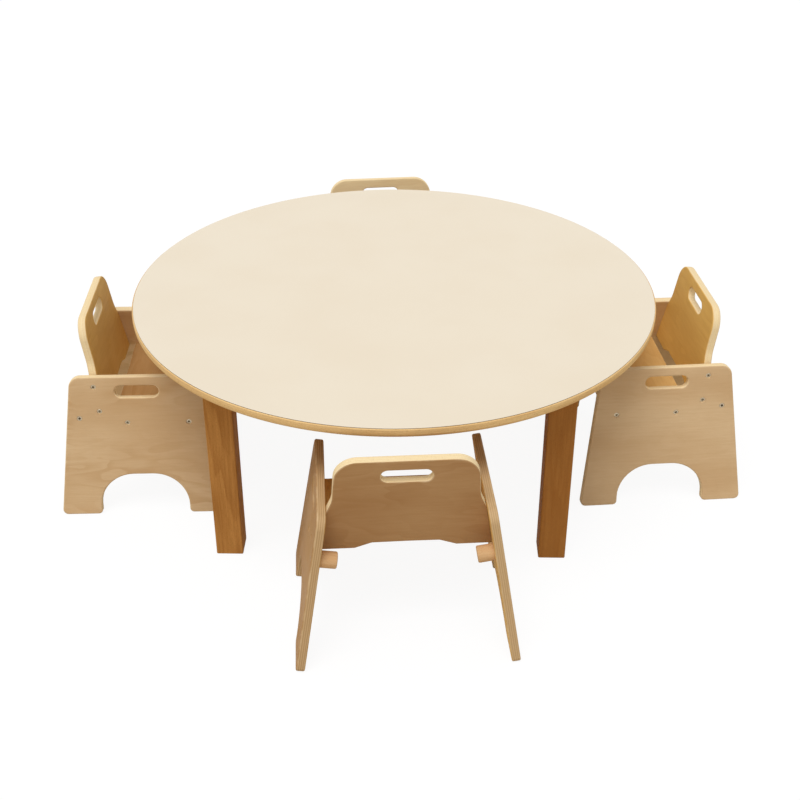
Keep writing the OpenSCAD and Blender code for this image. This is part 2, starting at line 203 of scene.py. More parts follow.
def makePlies(figure):
    # birch plywood from face to face: Place's Z runs from 0 to the board's thickness
    numbers = ["Veneer", "Toasted", "Figured", "Ply", "Thickness"]
    colours = ["Pale Face", "Golden Face", "Brown Face", "Figure Dark", "Long Ply", "End Ply", "Glue"]
    inputs = {"Place": "Vector", **dict.fromkeys(numbers, "Float"), **dict.fromkeys(colours, "Color")}
    group, given, out = newGroup("plies", inputs, {"Color": "Color", "Height": "Float"})
    depth = put(group, "SeparateXYZ", Vector=given["Place"]).outputs["Z"]
    sway = maths(group, "SUBTRACT", cloudy(group, given["Place"], **plies["sway"]), 0.5)
    swayed = maths(group, "ADD", depth, maths(group, "MULTIPLY", sway, plies["swayReach"]))
    level = maths(group, "DIVIDE", swayed, given["Ply"])
    odd = maths(group, "ABSOLUTE", maths(group, "MODULO", maths(group, "FLOOR", level), 2.0))
    fraction = maths(group, "FRACT", level)
    glueBelow = between(group, fraction, 0.0, plies["glueReach"], 1.0, 0.0)
    glue = maths(group, "MAXIMUM", glueBelow, between(group, fraction, 1 - plies["glueReach"], 1.0))
    # the face veneer ends and the plies begin between two depths under either face
    left = maths(group, "SUBTRACT", given["Thickness"], depth)
    skin = maths(group, "MULTIPLY", given["Ply"], plies["skinTo"])
    underFaces = [between(group, under, plies["skinFrom"], skin) for under in (depth, left)]
    edge = maths(group, "MULTIPLY", *underFaces)
    look = useGroup(group, figure, Place=given["Place"], **plies["figure"])
    # faces in shade are painted golden or brown, and a well-lit face whitish with the long ply's colour
    golden = maths(group, "MINIMUM", given["Veneer"], 1.0)
    brown = maths(group, "SUBTRACT", given["Veneer"], 1.0, True)
    whitish = maths(group, "MULTIPLY", given["Veneer"], -1.0, True)
    face = blendColours(group, golden, given["Pale Face"], given["Golden Face"])
    face = blendColours(group, brown, face, given["Brown Face"])
    face = blendColours(group, whitish, face, given["Long Ply"])
    darker = blendColours(group, 1.0, face, given["Figure Dark"], "MULTIPLY")
    face = blendColours(group, maths(group, "MULTIPLY", look["Figure"], given["Figured"]), face, darker)
    for label, reach in plies["darker"].items():
        face = layOver(group, look[label], reach, face, darker)
    pores = cloudy(group, given["Place"], **plies["pores"])
    bands = cloudy(group, given["Place"], **plies["bands"])
    ends = maths(group, "MULTIPLY", odd, plies["endShare"])
    inner = blendColours(group, ends, given["Long Ply"], given["End Ply"])
    inner = layOver(group, bands, plies["bandReach"], inner, given["End Ply"])
    inner = layOver(group, pores, plies["poreReach"], inner, given["Glue"])
    # a board's rim is darkened towards the glue colour: ply tone and painted shade
    rimShade = maths(group, "SUBTRACT", plies["rimShadeShare"], maths(group, "MULTIPLY", odd, plies["rimShadeStep"]))
    inner = blendColours(group, maths(group, "MULTIPLY", given["Toasted"], rimShade), inner, given["Glue"])
    inner = blendColours(group, maths(group, "MULTIPLY", glue, plies["glueShare"]), inner, given["Glue"])
    group.links.new(blendColours(group, edge, face, inner), out["Color"])
    raised = maths(group, "MULTIPLY", odd, plies["endHeight"])
    layered = maths(group, "ADD", raised, maths(group, "MULTIPLY", pores, plies["poreHeight"]))
    layered = maths(group, "SUBTRACT", layered, maths(group, "MULTIPLY", glue, plies["glueDepth"]))
    flat = grainHeight(group, look)
    height = put(group, "Mix", {"data_type": "FLOAT"}, i0=edge, i2=flat, i3=layered).outputs[0]
    group.links.new(height, out["Height"])
    return group


beechGrain = {
    "along": 1.6, "across": 26.0, "paintedShadeShare": 0.7, "figureShare": 0.42,
    "darker": {"Streak": (0.32, 0.72, 0.5), "Fibre": (0.3, 0.8, 0.25)},
    "rays": {"stretch": (380, 2600, 2600), "detail": 0.0}, "rayReach": (0.66, 0.74),
    "fleckShare": 0.5, "fleckDepth": 0.3, "rough": (0.66, 0.8), "relief": 0.0001,
}


def makeBeech(figure):
    # solid beech: Place's X runs along the grain
    inputs = {"Place": "Vector", "Veneer": "Float", "Light": "Color", "Dark": "Color", "Fleck": "Color",
              "Rings": "Float"}
    group, given, out = newGroup("beech", inputs, {"Color": "Color", "Height": "Float"})
    look = useGroup(group, figure, Place=given["Place"], Rings=given["Rings"], Along=beechGrain["along"],
                    Across=beechGrain["across"])
    wood = given["Light"]
    # a leg's painted shade and the figure darken the wood towards the dark colour
    for pattern, share in ((given["Veneer"], "paintedShadeShare"), (look["Figure"], "figureShare")):
        wood = blendColours(group, maths(group, "MULTIPLY", pattern, beechGrain[share]), wood, given["Dark"])
    for label, reach in beechGrain["darker"].items():
        wood = layOver(group, look[label], reach, wood, given["Dark"])
    fleck = between(group, cloudy(group, given["Place"], **beechGrain["rays"]), *beechGrain["rayReach"])
    flecks = maths(group, "MULTIPLY", fleck, beechGrain["fleckShare"])
    group.links.new(blendColours(group, flecks, wood, given["Fleck"]), out["Color"])
    sunk = maths(group, "MULTIPLY", fleck, beechGrain["fleckDepth"])
    group.links.new(maths(group, "SUBTRACT", grainHeight(group, look), sunk), out["Height"])
    return group


figureGroup = makeFigure()
wearGroup = makeWear()
pliesGroup = makePlies(figureGroup)
beechGroup = makeBeech(figureGroup)
print("node groups made")


def newMaterial(name, look):
    made = bpy.data.materials.new(name)
    made.use_nodes = True
    tree = made.node_tree
    shader = tree.nodes["Principled BSDF"]
    for label, value in look.items():
        shader.inputs[label].default_value = value
    return made, tree, shader


def boardPlace(tree):
    return put(tree, "Attribute", {"attribute_name": "place"}).outputs["Vector"]


def mask(tree, name):
    return put(tree, "Attribute", {"attribute_name": name}).outputs["Fac"]


def finishWood(tree, shader, wood, place, arris, rubbed, finish):
    # the lacquer over the wood, with its wear
    worn = useGroup(tree, wearGroup, Place=place, Arris=arris)
    rubs = maths(tree, "MULTIPLY", worn["Rubbed"], wear["rubShare"])
    tree.links.new(blendColours(tree, rubs, wood["Color"], rubbed), shader.inputs["Base Color"])
    rough = between(tree, worn["Smear"], 0.0, 1.0, *finish["rough"])
    rough = maths(tree, "ADD", rough, maths(tree, "MULTIPLY", worn["Scratch"], wear["scratchRough"]))
    rough = maths(tree, "ADD", rough, maths(tree, "MULTIPLY", worn["Rubbed"], wear["rubRough"]))
    tree.links.new(rough, shader.inputs["Roughness"])
    scratches = maths(tree, "MULTIPLY", worn["Scratch"], wear["scratchDepth"])
    relief = maths(tree, "SUBTRACT", wood["Height"], scratches)
    addRelief(tree, shader, relief, wear["bump"], finish["relief"])


# golden and brown are warmer, darker copies of the pale face, painted onto faces in shade
plyLook = {
    "pale": tint(220, 193, 159),
    "golden": tint(246, 202, 116),
    "brown": tint(186, 146, 102),
    "dark": tint(216, 194, 166),
    "longPly": tint(248, 228, 185),
    "endPly": tint(240, 212, 163),
    "glue": tint(168, 126, 80),
    "rubbed": tint(242, 220, 182),
    "ply": 0.00167,
    "rough": (0.55, 0.7),
    "relief": 0.00012,
    "shine": 0.05,
}


def makeBirchPly(name, thickness, marks):
    made, tree, shader = newMaterial(name, {"Specular IOR Level": plyLook["shine"]})
    place, arris, toneAndPaintedShade, rimToneAndPaintedShade, figured = marks(tree)
    wood = useGroup(tree, pliesGroup, Place=place, Veneer=toneAndPaintedShade, Toasted=rimToneAndPaintedShade, Figured=figured,
                    Ply=plyLook["ply"], Thickness=thickness, Glue=plyLook["glue"], Pale_Face=plyLook["pale"],
                    Golden_Face=plyLook["golden"], Brown_Face=plyLook["brown"], Figure_Dark=plyLook["dark"],
                    Long_Ply=plyLook["longPly"], End_Ply=plyLook["endPly"])
    finishWood(tree, shader, wood, place, arris, plyLook["rubbed"], plyLook)
    return made


def boardMarks(tree):
    # the spot in the board and the shades that each vertex keeps
    return [boardPlace(tree)] + [mask(tree, kind) for kind in ("arris", "toneAndPaintedShade", "rimToneAndPaintedShade", "figured")]


beechLooks = {
    "beech_leg": {"light": tint(201, 144, 78), "dark": tint(158, 102, 47), "fleck": tint(120, 74, 32),
                  "rings": 8.0},
    "beech_lipping": {"light": tint(238, 202, 144), "dark": tint(212, 166, 106), "fleck": tint(164, 116, 68),
                      "rings": 5.0},
    "beech_peg": {"light": tint(216, 178, 132), "dark": tint(204, 154, 104), "fleck": tint(176, 122, 78),
                  "rings": 4.0},
}


def makeBeechWood(name, look):
    made, tree, shader = newMaterial(name, {"Specular IOR Level": plyLook["shine"]})
    place = boardPlace(tree)
    wood = useGroup(tree, beechGroup, Place=place, Veneer=mask(tree, "toneAndPaintedShade"), Light=look["light"],
                    Dark=look["dark"], Fleck=look["fleck"], Rings=look["rings"])
    finishWood(tree, shader, wood, place, mask(tree, "arris"), look["light"], beechGrain)
    return made


laminateLook = {
    "sheet": tint(234, 222, 201), "warm": tint(229, 214, 190), "edge": tint(84, 60, 42), "shine": 0.2,
    "cloud": {"scale": 5.0, "detail": 3.0, "rough": 0.55}, "cloudReach": (0.3, 0.75, 0.35),
    "grit": {"scale": 900.0, "rough": 0.6}, "gritReach": (0.45, 0.8, 0.12),
    "rough": (0.4, 0.5), "scratchRough": 0.15, "scratchDepth": 0.5, "bump": 0.35, "relief": 0.00006,
}


def makeLaminate():
    made, tree, shader = newMaterial("laminate", {"Specular IOR Level": laminateLook["shine"]})
    place = put(tree, "TexCoord").outputs["Object"]
    cloud = cloudy(tree, place, **laminateLook["cloud"])
    grit = cloudy(tree, place, **laminateLook["grit"])
    colour = layOver(tree, cloud, laminateLook["cloudReach"], laminateLook["sheet"], laminateLook["warm"])
    colour = layOver(tree, grit, laminateLook["gritReach"], colour, laminateLook["warm"])
    colour = blendColours(tree, mask(tree, "arris"), colour, laminateLook["edge"])
    tree.links.new(colour, shader.inputs["Base Color"])
    worn = useGroup(tree, wearGroup, Place=place, Arris=0.0)
    rough = between(tree, worn["Smear"], 0.0, 1.0, *laminateLook["rough"])
    rough = maths(tree, "ADD", rough, maths(tree, "MULTIPLY", worn["Scratch"], laminateLook["scratchRough"]))
    tree.links.new(rough, shader.inputs["Roughness"])
    scratches = maths(tree, "MULTIPLY", worn["Scratch"], laminateLook["scratchDepth"])
    relief = maths(tree, "SUBTRACT", grit, scratches)
    addRelief(tree, shader, relief, laminateLook["bump"], laminateLook["relief"])
    return made


# socket is a dark colour laid into each head's hexagon socket and round its edge: painted shade in the recess
zincLook = {
    "light": tint(205, 188, 160), "dark": tint(176, 158, 130), "socket": tint(70, 58, 44),
    "blotch": {"scale": 420.0, "detail": 3.0, "rough": 0.6}, "blotchReach": (0.3, 0.7, 1.0),
    "socketShadeReach": (0.75, 1.0, 0.8), "roughReach": (0.3, 0.75), "rough": (0.26, 0.42),
    "turned": {"stretch": (1500, 1500, 5200)}, "bump": 0.3, "relief": 0.00005,
}


def makeZincSteel():
    made, tree, shader = newMaterial("zinc_steel", {"Metallic": 1.0})
    place = put(tree, "TexCoord").outputs["Object"]
    blotch = cloudy(tree, place, **zincLook["blotch"])
    colour = layOver(tree, blotch, zincLook["blotchReach"], zincLook["light"], zincLook["dark"])
    # painted shade in the socket, where the screw's marked corners are
    colour = layOver(tree, mask(tree, "arris"), zincLook["socketShadeReach"], colour, zincLook["socket"])
    tree.links.new(colour, shader.inputs["Base Color"])
    rough = between(tree, blotch, *zincLook["roughReach"], *zincLook["rough"])
    tree.links.new(rough, shader.inputs["Roughness"])
    turned = cloudy(tree, place, **zincLook["turned"])
    addRelief(tree, shader, turned, zincLook["bump"], zincLook["relief"])
    return made


# board making

def ease(bm, geom, radius, steps, affect="EDGES"):
    # rounds edges or corners
    bmesh.ops.bevel(bm, geom=geom, offset=radius, offset_type="OFFSET", segments=steps, profile=0.5,
                    affect=affect, material=-1)


def roundedFace(bm, corners, steps=10):
    # a flat outline from corners (x, y, radius)
    points = [bm.verts.new((x, y, 0)) for x, y, radius in corners]
    bm.faces.new(points)
    for i, (x, y, radius) in enumerate(corners):
        if radius:
            here = Vector((x, y))
            before = Vector(corners[i - 1][:2]) - here
            after = Vector(corners[(i + 1) % len(corners)][:2]) - here
            ease(bm, [points[i]], radius / tan(before.angle(after) / 2), steps, "VERTICES")


def slotLoop(bm, slot, x, y):
    # a circle whose halves are moved apart
    half = Matrix.Rotation(pi / slot["sides"], 4, "Z")
    ring = bmesh.ops.create_circle(bm, cap_ends=False, radius=slot["height"] / 2, segments=slot["sides"],
                                   matrix=half)["verts"]
    apart = (slot["length"] - slot["height"]) / 2
    for end in (-1, 1):
        bmesh.ops.translate(bm, verts=[v for v in ring if v.co.x * end > 0], vec=(end * apart, 0, 0))
    bmesh.ops.translate(bm, verts=ring, vec=(x, y, 0))


def fillFlat(bm):
    bmesh.ops.delete(bm, geom=bm.faces[:], context="FACES_ONLY")
    bmesh.ops.triangle_fill(bm, use_beauty=True, use_dissolve=False, edges=bm.edges[:])


def thicken(bm, thickness):
    raised = bmesh.ops.extrude_face_region(bm, geom=bm.faces[:])["geom"]
    tops = [g for g in raised if isinstance(g, bmesh.types.BMVert)]
    bmesh.ops.translate(bm, verts=tops, vec=(0, 0, thickness))
    bmesh.ops.recalc_face_normals(bm, faces=bm.faces[:])


def easeArrises(bm, radius, wanted=None):
    # rounds the long edges where a flat face meets the board's rim, nearly square to it
    rims = [e for e in bm.edges if len(e.link_faces) == 2 and e.calc_face_angle() > chair["squareFrom"]
            and abs(e.verts[0].co.z - e.verts[1].co.z) < tiny and (wanted is None or wanted(e))]
    ease(bm, rims, radius, chair["arrisSteps"])


def markPlaces(bm, thickness, radius, offset, shade):
    # each vertex keeps its own spot in the board, which the grain and the plies read,
    # and the shades of its faces and rim, which carry painted light and shade
    place = bm.verts.layers.float_vector.new("place")
    marks = [bm.verts.layers.float.new(kind) for kind in ("arris", "toneAndPaintedShade", "rimToneAndPaintedShade", "figured")]
    arris, toneAndPaintedShade, rimToneAndPaintedShade, figured = marks
    for v in bm.verts:
        low, high = v.co.z, thickness - v.co.z
        v[rimToneAndPaintedShade], v[figured] = shade[2:]
        v[place] = (v.co.x + offset[0], v.co.y + offset[1], v.co.z)
        v[arris] = 1.0 if tiny < min(low, high) < radius - tiny else 0.0
        v[toneAndPaintedShade] = shade[0] if low < high else shade[1]


def cutAway(bm, point, normal):
    # removes what lies on the normal's side of a plane and closes the cut
    everything = bm.verts[:] + bm.edges[:] + bm.faces[:]
    cut = bmesh.ops.bisect_plane(bm, geom=everything, plane_co=point, plane_no=normal, clear_outer=True,
                                 dist=tiny)["geom_cut"]
    bmesh.ops.holes_fill(bm, edges=[g for g in cut if isinstance(g, bmesh.types.BMEdge)], sides=0)


def turnRound(bm, steps):
    # spins an outline round the Z axis, as on a lathe
    bmesh.ops.spin(bm, geom=bm.verts[:] + bm.edges[:], cent=(0, 0, 0), axis=(0, 0, 1), dvec=(0, 0, 0),
                   angle=2 * pi, steps=steps, use_merge=True, use_duplicate=False)
    bmesh.ops.remove_doubles(bm, verts=bm.verts, dist=tiny)


def sharpen(bm, limit=0.9):
    # an edge whose faces turn by more than the limit, in radians, keeps its crease
    for edge in bm.edges:
        if len(edge.link_faces) == 2 and edge.calc_face_angle() > limit:
            edge.smooth = False


def makePiece(bm, name, matrix, body, material, slotName, *replaced):
    bmesh.ops.transform(bm, matrix=matrix, verts=bm.verts)
    bmesh.ops.recalc_face_normals(bm, faces=bm.faces[:])
    for face in bm.faces:
        face.smooth = True
    mesh = bpy.data.meshes.new(name)
    bm.to_mesh(mesh)
    bm.free()
    mesh.materials.append(material)
    made = bpy.data.objects.new(name, mesh)
    scene.collection.objects.link(made)
    weighted = made.modifiers.new("flatsKept", "WEIGHTED_NORMAL")
    weighted.mode = "FACE_AREA"
    weighted.weight = 100
    weighted.keep_sharp = True
    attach(made, body)
    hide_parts(*replaced)


# chairs: a chair's own middle is at x = 0, y = 0, and its sitter looks towards -Y

chair = {
    "width": 0.374, "depth": 0.317, "ply": 0.015, "splay": radians(9.1), "glueLine": 0.00005,
    "seatMiddle": -0.03605, "arris": 0.0028, "arrisSteps": 4, "squareFrom": radians(69),
    "slot": {"length": 0.082, "height": 0.0245, "sides": 36},
}
side = {
    "top": 0.283, "topFrom": 0.040, "topTo": 0.287, "topRound": 0.021, "footRound": 0.010,
    "archFrom": 0.077, "archTo": 0.245, "arch": 0.0835, "archRound": 0.066, "archFootRound": 0.008,
    "roundSteps": 12, "footEase": 0.0022, "footEaseSteps": 3, "slotAt": (0.162, 0.25325),
    "headHole": 0.0101, "headDepth": 0.0034, "lip": 0.0003, "holeSides": 28,
}
seat = {"height": 0.196, "depth": 0.161}
back = {
    "lean": radians(8.4), "foot": 0.1217, "low": 0.18953, "shoulder": 0.27397, "rise": 0.105,
    "neckIn": 0.0098, "neckRise": 0.0247, "neckRound": 0.045, "taper": 0.0055, "cornerRound": 0.038,
    "slotDrop": 0.020, "endGap": 0.0002, "endReach": 0.004,
    "notch": [(0.055, 0.011, 0.008), (0.083, 0, 0.004)], "crown": (0, 0.0115, 0.200),
}
peg = {
    "diameter": 0.028, "length": 0.028, "fromRear": 0.052, "height": 0.201, "round": 0.0025, "roundSteps": 5,
    "sides": 48,
}
screw = {
    "length": 0.050, "pegLength": 0.038, "sides": 24, "sink": 0.001, "pegSink": 0.0004,
    "seatIn": (0.0265, 0.020), "backIn": (0.0245, 0.011),
    "head": 0.010, "headHeight": 0.0035, "headFlat": 0.93, "headRound": 0.0004, "headStraight": 0.55,
    "socket": 0.004, "socketDepth": 0.0024, "shank": 0.007, "shankRunout": 0.001, "neck": 0.8,
    "thread": 0.005, "root": 0.76, "pitch": 0.0022, "crestAt": 0.45, "nextRootAt": 0.9, "threadEnd": 0.006,
    "point": 0.004, "pointFrom": 0.7, "tip": 0.0002, "crease": 0.6,
}
heart = 0.2  # solid beech is cut this far from the middle of its tree

rearY = chair["depth"] / 2
backFootY = rearY - back["foot"]
backTop = back["shoulder"] + back["rise"]
seatRearY = chair["seatMiddle"] + seat["depth"] / 2
seatLow = seat["height"] - chair["ply"]
birchPly = makeBirchPly("birch_ply", chair["ply"], boardMarks)
beech = {name: makeBeechWood(name, look) for name, look in beechLooks.items()}
zincSteel = makeZincSteel()
print("chair materials made")


def outerX(z):
    return chair["width"] / 2 - z * tan(chair["splay"])


def innerX(z):
    return outerX(z) - chair["ply"] / cos(chair["splay"]) - chair["glueLine"]


def backPoint(along):
    return (backFootY + along * sin(back["lean"]), along * cos(back["lean"]))


# where the screws of a side go in, as (y, z): two into the seat and two into the back
seatMidZ = seat["height"] - chair["ply"] / 2
crossScrews = [
    (seatRearY - screw["seatIn"][0], seatMidZ),
    (seatRearY - seat["depth"] + screw["seatIn"][1], seatMidZ),
    backPoint(back["low"] + screw["backIn"][0]),
    backPoint(back["shoulder"] - screw["backIn"][1]),
]


def chairMatrix(name):
    # where a chair stands: its turn from the way it slides, its middle from its seat
    axis = next(j["axis"] for j in frame["joints"] if j["child"] == name)
    turn = Matrix.Rotation(atan2(-axis[0], axis[1]), 4, "Z")
    low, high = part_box(name + "_seat")
    middle = (Vector(low) + Vector(high)) / 2
    middle.z = 0
    return Matrix.Translation(middle - turn @ Vector((0, chair["seatMiddle"], 0))) @ turn


def sideFrame(hand):
    # the outer face of a side: X runs forwards from its rear foot, Y up and Z into the board
    plane = Matrix.Translation((chair["width"] / 2, rearY, 0)) @ Matrix.Rotation(-chair["splay"], 4, "Y")
    plane = plane @ Matrix.Rotation(-pi / 2, 4, "Z") @ Matrix.Rotation(pi / 2, 4, "X")
    return plane if hand > 0 else Matrix.Scale(-1, 4, (1, 0, 0)) @ plane


def drillHeads(bm, spots):
    # round sinkings in the outer face: (x, y, direction into the board)
    hole = side["headHole"] / 2
    flat = [f for f in bm.faces if all(abs(v.co.z) < tiny for v in f.verts)]
    bmesh.ops.delete(bm, geom=flat, context="FACES")
    rim = [e for e in bm.edges if e.is_boundary]
    rings = []
    for x, y, inward in spots:
        spot = Matrix.Translation((x, y, 0))
        made = bmesh.ops.create_circle(bm, cap_ends=False, radius=hole + side["lip"],
                                       segments=side["holeSides"], matrix=spot)["verts"]
        edges = list({e for v in made for e in v.link_edges})
        rings.append((edges, Vector((x, y, 0)), inward / inward.z))
        rim += edges
    bmesh.ops.triangle_fill(bm, use_beauty=True, use_dissolve=False, edges=rim)
    for edges, middle, inward in rings:
        for depth in (side["lip"], side["headDepth"]):
            grown = bmesh.ops.extrude_edge_only(bm, edges=edges)["geom"]
            edges = [g for g in grown if isinstance(g, bmesh.types.BMEdge)]
            verts = [g for g in grown if isinstance(g, bmesh.types.BMVert)]
            for v in verts:
                spoke = v.co - middle
                spoke.z = 0
                v.co = middle + spoke.normalized() * hole
            bmesh.ops.translate(bm, verts=verts, vec=inward * depth)
        bmesh.ops.holes_fill(bm, edges=edges, sides=0)


def sideBoard(offset, shade):
    bm = bmesh.new()
    corners = [
        (0, 0, side["footRound"]),
        (side["archFrom"], 0, side["archFootRound"]),
        (side["archFrom"], side["arch"], side["archRound"]),
        (side["archTo"], side["arch"], side["archRound"]),
        (side["archTo"], 0, side["archFootRound"]),
        (chair["depth"], 0, side["footRound"]),
        (side["topTo"], side["top"], side["topRound"]),
        (side["topFrom"], side["top"], side["topRound"]),
    ]
    roundedFace(bm, corners, side["roundSteps"])
    slotLoop(bm, chair["slot"], *side["slotAt"])
    fillFlat(bm)
    thicken(bm, chair["ply"])
    easeArrises(bm, chair["arris"])
    markPlaces(bm, chair["ply"], chair["arris"], offset, shade)
    return bm


def makeSide(name, hand, matrix, offset, shade):
    bm = sideBoard(offset, shade)
    toSide = sideFrame(1)
    fromSide = toSide.inverted()
    level = Vector((0, sin(chair["splay"]), cos(chair["splay"])))
    spots = []
    for y, z in crossScrews:
        at = fromSide @ Vector((outerX(z), y, z))
        spots.append((at.x, at.y, level))
    spots.append((peg["fromRear"], peg["height"], Vector((0, 0, 1))))
    drillHeads(bm, spots)
    # drilling adds corners, which get a spot and a shade too
    place, toneAndPaintedShade = bm.verts.layers.float_vector["place"], bm.verts.layers.float["toneAndPaintedShade"]
    for v in bm.verts:
        v[place] = (v.co.x + offset[0], v.co.y + offset[1], v.co.z)
        v[toneAndPaintedShade] = shade[0] if v.co.z < chair["ply"] / 2 else shade[1]
    # the feet are cut level with the floor and their inner edges eased
    cutAway(bm, fromSide @ Vector((chair["width"] / 2, 0, 0)), fromSide.to_3x3() @ Vector((0, 0, -1)))

    def innerFoot(v):
        return abs(v.co.z - chair["ply"]) < tiny and abs((toSide @ v.co).z) < tiny

    inner = [e for e in bm.edges if all(innerFoot(v) for v in e.verts)]
    ease(bm, inner, side["footEase"], side["footEaseSteps"])
    sharpen(bm)
    suffix = "_left_side" if hand > 0 else "_right_side"
    stand = matrix @ sideFrame(hand)
    makePiece(bm, name + suffix + "_board", stand, name, birchPly, "birch_ply", name + suffix)


def makeSeat(name, matrix, offset, shade):
    # a plain board whose ends are cut to the sides' lean
    bm = bmesh.new()
    wide, half = innerX(0), seat["depth"] / 2
    roundedFace(bm, [(-wide, -half, 0), (wide, -half, 0), (wide, half, 0), (-wide, half, 0)])
    thicken(bm, chair["ply"])
    easeArrises(bm, chair["arris"], lambda e: abs(e.verts[0].co.y - e.verts[1].co.y) < tiny)
    for hand in (-1, 1):
        cutAway(bm, (hand * innerX(seatLow), 0, 0), (hand * cos(chair["splay"]), 0, sin(chair["splay"])))
    markPlaces(bm, chair["ply"], chair["arris"], offset, shade)
    sharpen(bm)
    stand = matrix @ Matrix.Translation((0, chair["seatMiddle"], seatLow))
    makePiece(bm, name + "_seat_board", stand, name, birchPly, "birch_ply", name + "_seat")


def mirrored(corners):
    return [(-x, y, radius) for x, y, radius in reversed(corners)]


def makeBack(name, matrix, offset, shade):
    bm = bmesh.new()
    heights = (back["low"], back["shoulder"])
    lowX, highX = (innerX(up * cos(back["lean"])) - back["endGap"] for up in heights)
    neck = highX - back["neckIn"]
    half = [(lowX, back["low"], 0), (highX, back["shoulder"], 0),
            (neck, back["shoulder"] + back["neckRise"], back["neckRound"]),
            (neck - back["taper"], backTop, back["cornerRound"])]
    notch = mirrored(back["notch"]) + [back["crown"]] + back["notch"]
    notch = [(x, back["low"] + y, radius) for x, y, radius in notch]
    roundedFace(bm, half + mirrored(half) + notch)
    slotLoop(bm, chair["slot"], 0, backTop - back["slotDrop"] - chair["slot"]["height"] / 2)
    fillFlat(bm)
    thicken(bm, chair["ply"])

    def free(e):
        # the ends that stand against the sides stay square
        a, b = (v.co for v in e.verts)
        belowShoulder = max(a.y, b.y) < back["shoulder"] + tiny
        steep = abs(a.x - b.x) < abs(a.y - b.y)
        atEnd = min(abs(a.x), abs(b.x)) > neck - back["endReach"]
        return not (belowShoulder and steep and atEnd)

    easeArrises(bm, chair["arris"], free)
    markPlaces(bm, chair["ply"], chair["arris"], offset, shade)
    sharpen(bm)
    upright = Matrix.Translation((0, backFootY, 0)) @ Matrix.Rotation(pi / 2 - back["lean"], 4, "X")
    stand = matrix @ upright @ Matrix.Translation((0, 0, -chair["ply"] / 2))
    makePiece(bm, name + "_back_board", stand, name, birchPly, "birch_ply", name + "_back")


def makePeg(name, hand, matrix, offset):
    # a turned dowel, rounded at its free end
    bm = bmesh.new()
    radius, edge, length = peg["diameter"] / 2, peg["round"], peg["length"]
    corners = ((0, 0, 0), (radius, 0, 0), (radius, 0, length), (0, 0, length))
    profile = [bm.verts.new(corner) for corner in corners]
    for pair in zip(profile, profile[1:]):
        bm.edges.new(pair)
    ease(bm, [profile[2]], edge, peg["roundSteps"], "VERTICES")
    turnRound(bm, peg["sides"])
    bmesh.ops.recalc_face_normals(bm, faces=bm.faces[:])
    place = bm.verts.layers.float_vector.new("place")
    arris = bm.verts.layers.float.new("arris")
    for v in bm.verts:
        v[place] = (v.co.z + offset[0], v.co.x + offset[1], v.co.y + heart)
        v[arris] = 1.0 if length - edge + tiny < v.co.z < length - tiny else 0.0
    sharpen(bm)
    spot = Matrix.Translation((peg["fromRear"], peg["height"], chair["ply"] + chair["glueLine"]))
    suffix = "_left_peg" if hand > 0 else "_right_peg"
    stand = matrix @ sideFrame(hand) @ spot
    makePiece(bm, name + suffix + "_dowel", stand, name, beech["beech_peg"], "beech_peg", name + suffix)


def screwOutline(length):
    # half of a screw's outline, as (radius, depth): head, shank, thread and point
    head, shank, thread = screw["head"] / 2, screw["shank"] / 2, screw["thread"] / 2
    root = thread * screw["root"]
    outline = [
        (head * screw["headFlat"], 0),
        (head, screw["headRound"]),
        (head, screw["headHeight"] * screw["headStraight"]),
        (shank, screw["headHeight"]),
        (shank, chair["ply"] - screw["shankRunout"]),
        (thread * screw["neck"], chair["ply"]),
    ]
    reach = chair["ply"] + screw["shankRunout"]
    while reach < length - screw["threadEnd"]:
        crest = reach + screw["pitch"] * screw["crestAt"]
        nextRoot = reach + screw["pitch"] * screw["nextRootAt"]
        outline += [(root, reach), (thread, crest), (root, nextRoot)]
        reach += screw["pitch"]
    return outline + [(thread * screw["pointFrom"], length - screw["point"]), (screw["tip"], length)]


def addScrew(bm, matrix, length):
    # spun from its outline, with a hexagon socket in its head
    part = bmesh.new()
    points = [part.verts.new((radius, 0, depth)) for radius, depth in screwOutline(length)]
    for pair in zip(points, points[1:]):
        part.edges.new(pair)
    turnRound(part, screw["sides"])
    tip = [e for e in part.edges if e.is_boundary and e.verts[0].co.z > length / 2]
    bmesh.ops.holes_fill(part, edges=tip, sides=0)
    rim = [e for e in part.edges if e.is_boundary]
    socket = screw["socket"] / 2 / cos(pi / 6)
    hexagon = bmesh.ops.create_circle(part, cap_ends=False, radius=socket, segments=6)["verts"]
    hexEdges = list({e for v in hexagon for e in v.link_edges})
    bmesh.ops.triangle_fill(part, use_beauty=True, use_dissolve=False, edges=rim + hexEdges)
    grown = bmesh.ops.extrude_edge_only(part, edges=hexEdges)["geom"]
    floor = [g for g in grown if isinstance(g, bmesh.types.BMVert)]
    bmesh.ops.translate(part, verts=floor, vec=(0, 0, screw["socketDepth"]))
    bmesh.ops.holes_fill(part, edges=[g for g in grown if isinstance(g, bmesh.types.BMEdge)], sides=0)
    # the socket's corners are marked, for the painted shade in the recess
    arris = part.verts.layers.float.new("arris")
    for v in part.verts:
        v[arris] = 1.0 if v.co.xy.length < socket + tiny and v.co.z < length / 2 else 0.0
    bmesh.ops.recalc_face_normals(part, faces=part.faces[:])
    bmesh.ops.transform(part, matrix=matrix, verts=part.verts)
    bmesh.ops.recalc_face_normals(part, faces=part.faces[:])
    sharpen(part, screw["crease"])
    held = bpy.data.meshes.new("screwPart")
    part.to_mesh(held)
    part.free()
    bm.from_mesh(held)
    bpy.data.meshes.remove(held)


